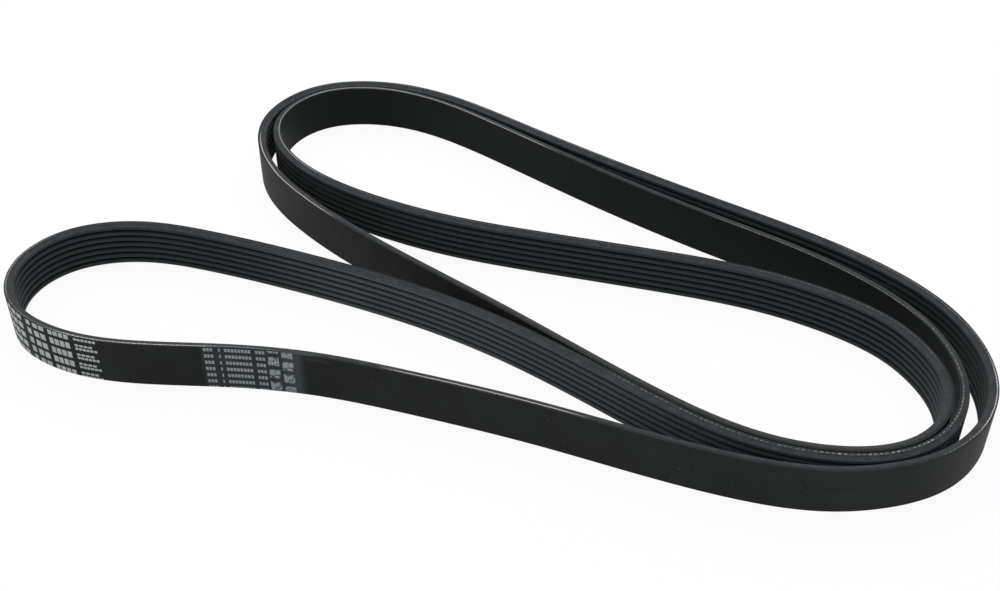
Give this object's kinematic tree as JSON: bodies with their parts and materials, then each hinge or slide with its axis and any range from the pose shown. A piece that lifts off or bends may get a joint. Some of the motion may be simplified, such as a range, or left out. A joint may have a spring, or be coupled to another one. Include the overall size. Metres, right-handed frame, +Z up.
{
  "type": "serpentine belt",
  "caption": "Endless ribbed rubber drive belt for engine accessories, standing on its cut edge in a loosely folded coil.",
  "frame": {"origin": "under the middle of the folded coil, on the surface that it stands on", "axes": "+X along the coil's longest extent, +Y across it away from the printed front run, +Z up along the belt's width"},
  "size_m": [0.4734, 0.3228, 0.0249],
  "materials": {
    "black_rubber": "matt black, finely textured"
  },
  "bodies": {
    "root": {"belt": "black_rubber"}
  },
  "joints": []
}
